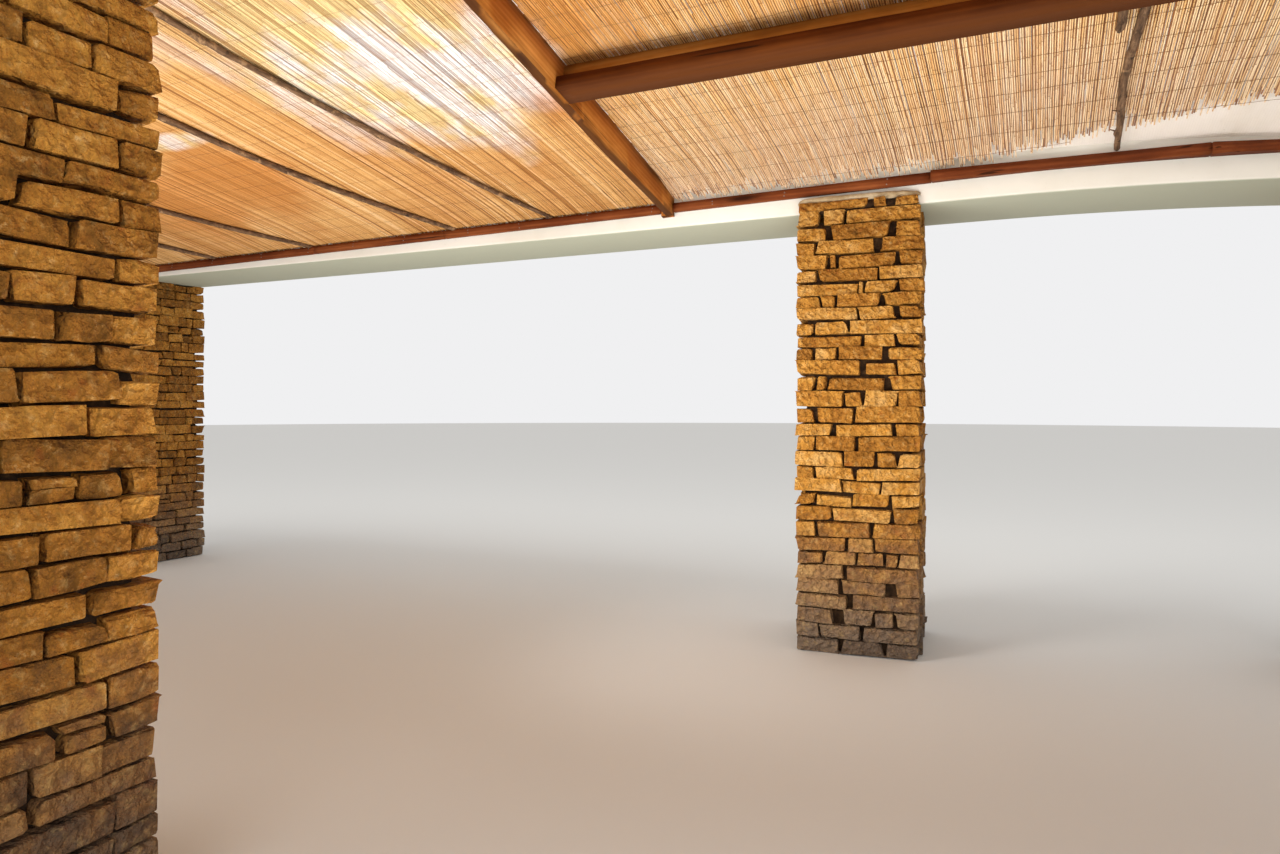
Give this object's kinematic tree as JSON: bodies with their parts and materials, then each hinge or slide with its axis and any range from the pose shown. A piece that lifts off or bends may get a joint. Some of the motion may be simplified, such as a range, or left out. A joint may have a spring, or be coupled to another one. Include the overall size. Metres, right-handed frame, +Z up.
{
  "type": "reed-ceilinged lean-to bay on stone piers",
  "caption": "Lean-to roof bay with a reed ceiling under opal sheets, on a curved plastered ring beam, an outer beam and dry-laid stone piers; gives shade over a lounge or veranda.",
  "frame": {"origin": "middle of the centre pier's foot, on the floor", "axes": "+X along the ring beam towards its curved end, +Y from the lean-to towards the room behind the ring beam, +Z up"},
  "size_m": [9.708, 5.2666, 3.381],
  "materials": {
    "stone": "rough split sandstone, laid dry",
    "mortar": "smeared cement mortar",
    "plaster": "smooth painted plaster",
    "timber": "red-brown stained pine",
    "pole": "natural pole with its bark",
    "reed": "dry golden reed",
    "opal": "opal translucent sheet",
    "bar": "mill aluminium"
  },
  "bodies": {
    "root": {"pier_centre": "stone", "pier_inner_left": "stone", "pier_inner_right": "stone", "pier_outer_left": "stone", "pier_outer_middle": "stone", "pier_outer_right": "stone", "pier_mortar_cap": "mortar", "ring_beam_straight": "plaster", "ring_beam_curved": "plaster", "outer_beam_left": "plaster", "outer_beam_right": "plaster", "ledger_1": "timber", "ledger_2": "timber", "ledger_3": "timber", "ledger_4": "timber", "ledger_5": "timber", "ledger_6": "timber", "ledger_7": "timber", "outer_plate_left": "timber", "outer_plate_right": "timber", "rafter_left": "timber", "rafter_main": "timber", "rafter_right": "timber", "purlin_flat": "timber", "purlin_top": "timber", "pole_1": "pole", "pole_2": "pole", "pole_3": "pole", "pole_4": "pole", "pole_5_lower": "pole", "pole_5_upper": "pole", "pole_stub": "pole", "mat_1": "reed", "mat_2": "reed", "mat_3": "reed", "mat_4": "reed", "mat_5": "reed", "mat_6": "reed", "mat_7": "reed", "sheet_1": "opal", "sheet_2": "opal", "sheet_3": "opal", "sheet_4": "opal", "sheet_5": "opal", "sheet_bars": "bar"}
  },
  "joints": []
}
